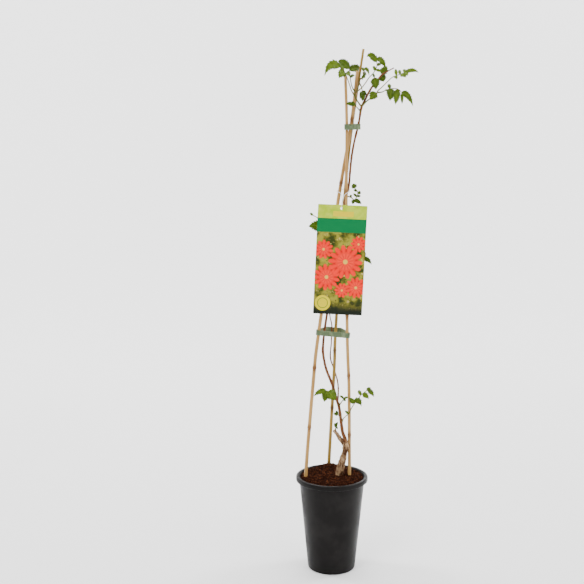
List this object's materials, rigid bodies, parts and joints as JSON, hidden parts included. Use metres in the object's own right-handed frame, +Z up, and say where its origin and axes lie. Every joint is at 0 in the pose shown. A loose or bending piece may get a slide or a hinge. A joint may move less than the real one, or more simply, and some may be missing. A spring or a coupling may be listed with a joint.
{
  "type": "potted trumpet vine",
  "caption": "Young trumpet vine on bamboo canes in a black nursery pot, with strip clips round the canes and a printed hang tag on a tie.",
  "frame": {"origin": "centre of the pot's flat base, on the ground", "axes": "+Z up along the pot, -Y towards the viewer of the printed tag, +X to that viewer's right"},
  "size_m": [0.224, 0.14, 1.0043],
  "materials": {
    "pot_black": "satin black blow-moulded plastic",
    "peat_soil": "crumbly dark peat and bark fines",
    "bamboo": "pale dry bamboo with darker joints",
    "bamboo_green": "golden olive bamboo",
    "bark": "peeling beige bark below, reddish brown above",
    "green_shoot": "soft green shoot",
    "leaf": "fresh toothed leaflets with a slight sheen",
    "clip_plastic": "muted sage green plastic strip",
    "tag_card": "printed waterproof card",
    "white_tie": "thin white tie"
  },
  "bodies": {
    "root": {"pot": "pot_black", "soil": "peat_soil", "cane_left": "bamboo", "cane_right": "bamboo", "cane_back": "bamboo_green", "woody_stem": "bark", "clip_lower": "clip_plastic", "clip_upper": "clip_plastic", "hang_tag": "tag_card", "tag_tie": "white_tie", "shoot_left": "green_shoot", "shoot_right": "green_shoot", "frond_crown_left": "leaf", "frond_crown_rear": "leaf", "frond_crown_small": "leaf", "frond_fork_dark": "leaf", "frond_upper": "leaf", "frond_stem_pair": "leaf", "frond_stem_rear": "leaf", "frond_bract": "leaf", "frond_right_long": "leaf", "frond_right_hanging": "leaf", "frond_fork_left": "leaf", "frond_above_tag": "leaf", "frond_mid_left": "leaf", "frond_mid_right": "leaf", "frond_low_left": "leaf", "frond_low_right": "leaf", "frond_low_inner": "leaf", "frond_stem_bud": "leaf", "frond_stub_sprout": "leaf"}
  },
  "joints": []
}
